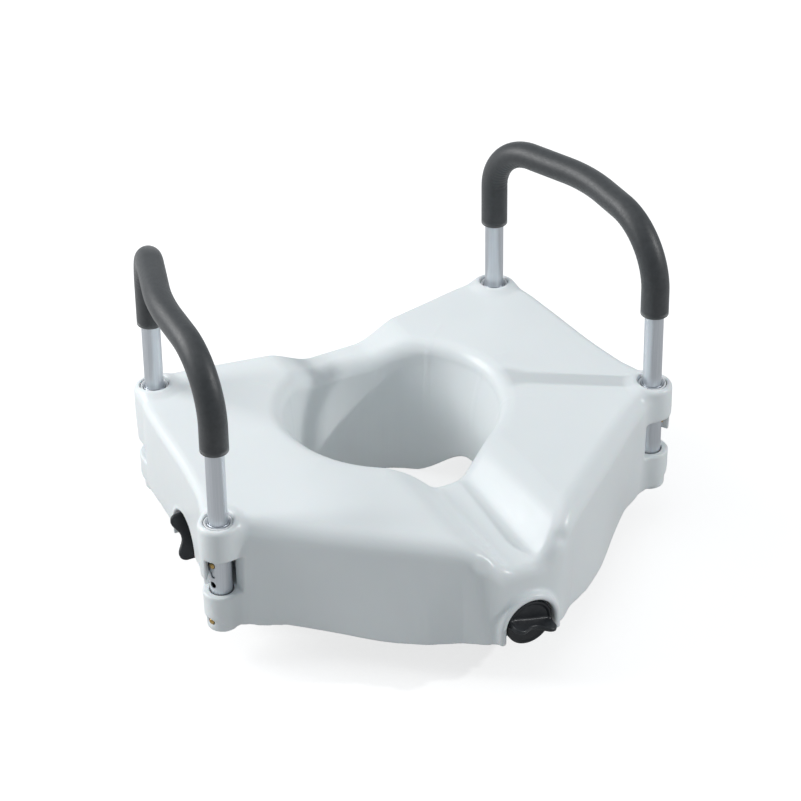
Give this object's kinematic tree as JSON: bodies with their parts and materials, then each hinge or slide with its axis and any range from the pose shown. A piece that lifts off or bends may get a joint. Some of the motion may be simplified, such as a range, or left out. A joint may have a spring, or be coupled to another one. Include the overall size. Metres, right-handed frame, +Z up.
{
  "type": "raised toilet seat",
  "caption": "Raised toilet seat with an oval opening, splash guard, rim clamps and lift-off padded arms on height-adjustable legs.",
  "frame": {"origin": "on the centre plane, midway between the tip of the front knob and the rear of the shell, level with the lowest edge of the splash guard: the bottom centre of the bounding box at rest", "axes": "+Z up, -Y towards the front of the seat, +X to the right when looking from the front towards the back"},
  "size_m": [0.55, 0.4748, 0.3644],
  "materials": {
    "shell_plastic": "satin white moulded plastic",
    "collar_plastic": "satin white",
    "grey_plastic": "matte",
    "knob_plastic": "satin black moulded plastic",
    "tube_aluminium": "satin anodised",
    "button_brass": "bright",
    "screw_steel": "zinc plated",
    "grip_foam": "soft closed-cell foam",
    "pad_rubber": "matte"
  },
  "bodies": {
    "root": {"seat_shell": "shell_plastic", "rim_pad_1": "pad_rubber", "rim_pad_2": "pad_rubber", "rim_pad_3": "pad_rubber", "rim_pad_4": "pad_rubber", "front_bush": "grey_plastic", "left_bush": "grey_plastic", "right_bush": "grey_plastic"},
    "left_sleeves": {"left_front_sleeve": "tube_aluminium", "left_front_collar": "collar_plastic", "left_front_end_plug": "grey_plastic", "left_rear_sleeve": "tube_aluminium", "left_rear_collar": "collar_plastic", "left_rear_end_plug": "grey_plastic"},
    "left_arm": {"left_arm_tube": "tube_aluminium", "left_arm_grip": "grip_foam"},
    "left_front_height_button": {"left_front_height_clip": "button_brass"},
    "left_front_lock_button": {"left_front_lock_clip": "button_brass"},
    "left_rear_height_button": {"left_rear_height_clip": "button_brass"},
    "left_rear_lock_button": {"left_rear_lock_clip": "button_brass"},
    "right_sleeves": {"right_front_sleeve": "tube_aluminium", "right_front_collar": "collar_plastic", "right_front_end_plug": "grey_plastic", "right_rear_sleeve": "tube_aluminium", "right_rear_collar": "collar_plastic", "right_rear_end_plug": "grey_plastic"},
    "right_arm": {"right_arm_tube": "tube_aluminium", "right_arm_grip": "grip_foam"},
    "right_front_height_button": {"right_front_height_clip": "button_brass"},
    "right_front_lock_button": {"right_front_lock_clip": "button_brass"},
    "right_rear_height_button": {"right_rear_height_clip": "button_brass"},
    "right_rear_lock_button": {"right_rear_lock_clip": "button_brass"},
    "front_knob": {"front_knob": "knob_plastic", "front_clamp_screw": "screw_steel", "front_retaining_ring": "screw_steel"},
    "front_jaw": {"front_jaw": "grey_plastic", "front_jaw_nut": "screw_steel", "front_jaw_pad": "pad_rubber"},
    "left_knob": {"left_knob": "knob_plastic", "left_clamp_screw": "screw_steel", "left_retaining_ring": "screw_steel"},
    "left_jaw": {"left_jaw": "grey_plastic", "left_jaw_nut": "screw_steel", "left_jaw_pad": "pad_rubber"},
    "right_knob": {"right_knob": "knob_plastic", "right_clamp_screw": "screw_steel", "right_retaining_ring": "screw_steel"},
    "right_jaw": {"right_jaw": "grey_plastic", "right_jaw_nut": "screw_steel", "right_jaw_pad": "pad_rubber"}
  },
  "joints": [
    {"name": "left_lift", "type": "slide", "parent": "root", "child": "left_sleeves", "axis": [0, 0, 1], "range_m": [0, 0.13], "deforming": ["left_front_lock_clip", "left_rear_lock_clip"]},
    {"name": "left_arm_height", "type": "slide", "parent": "left_sleeves", "child": "left_arm", "axis": [0, 0, 1], "range_m": [-0.024, 0], "deforming": ["left_front_height_clip", "left_rear_height_clip"]},
    {"name": "left_front_height_press", "type": "slide", "parent": "left_arm", "child": "left_front_height_button", "axis": [0.9455, 0.3256, 0], "range_m": [0, 0.0034]},
    {"name": "left_front_lock_press", "type": "slide", "parent": "left_sleeves", "child": "left_front_lock_button", "axis": [0.9455, 0.3256, 0], "range_m": [0, 0.006]},
    {"name": "left_rear_height_press", "type": "slide", "parent": "left_arm", "child": "left_rear_height_button", "axis": [0.9455, -0.3256, 0], "range_m": [0, 0.0034]},
    {"name": "left_rear_lock_press", "type": "slide", "parent": "left_sleeves", "child": "left_rear_lock_button", "axis": [0.9455, -0.3256, 0], "range_m": [0, 0.006]},
    {"name": "right_lift", "type": "slide", "parent": "root", "child": "right_sleeves", "axis": [0, 0, 1], "range_m": [0, 0.13], "deforming": ["right_front_lock_clip", "right_rear_lock_clip"]},
    {"name": "right_arm_height", "type": "slide", "parent": "right_sleeves", "child": "right_arm", "axis": [0, 0, 1], "range_m": [-0.024, 0], "deforming": ["right_front_height_clip", "right_rear_height_clip"]},
    {"name": "right_front_height_press", "type": "slide", "parent": "right_arm", "child": "right_front_height_button", "axis": [-0.9455, 0.3256, 0], "range_m": [0, 0.0034]},
    {"name": "right_front_lock_press", "type": "slide", "parent": "right_sleeves", "child": "right_front_lock_button", "axis": [-0.9455, 0.3256, 0], "range_m": [0, 0.006]},
    {"name": "right_rear_height_press", "type": "slide", "parent": "right_arm", "child": "right_rear_height_button", "axis": [-0.9455, -0.3256, 0], "range_m": [0, 0.0034]},
    {"name": "right_rear_lock_press", "type": "slide", "parent": "right_sleeves", "child": "right_rear_lock_button", "axis": [-0.9455, -0.3256, 0], "range_m": [0, 0.006]},
    {"name": "front_knob_turn", "type": "hinge", "parent": "root", "child": "front_knob", "pos_m": [0, -0.2104, 0.066], "axis": [0, 1, 0], "range_deg": [0, 2250]},
    {"name": "front_jaw_slide", "type": "slide", "parent": "root", "child": "front_jaw", "axis": [0, 1, 0], "range_m": [0, 0.02502]},
    {"name": "left_knob_turn", "type": "hinge", "parent": "root", "child": "left_knob", "pos_m": [-0.224, 0.0826, 0.066], "axis": [1, 0, 0], "range_deg": [0, 2250]},
    {"name": "left_jaw_slide", "type": "slide", "parent": "root", "child": "left_jaw", "axis": [1, 0, 0], "range_m": [0, 0.02502]},
    {"name": "right_knob_turn", "type": "hinge", "parent": "root", "child": "right_knob", "pos_m": [0.224, 0.0826, 0.066], "axis": [-1, 0, 0], "range_deg": [0, 2250]},
    {"name": "right_jaw_slide", "type": "slide", "parent": "root", "child": "right_jaw", "axis": [-1, 0, 0], "range_m": [0, 0.02502]}
  ],
  "couplings": [
    {"joint": "front_jaw_slide", "follows": "front_knob_turn", "m_per_rad": 0.00063662},
    {"joint": "left_jaw_slide", "follows": "left_knob_turn", "m_per_rad": 0.00063662},
    {"joint": "right_jaw_slide", "follows": "right_knob_turn", "m_per_rad": 0.00063662}
  ]
}
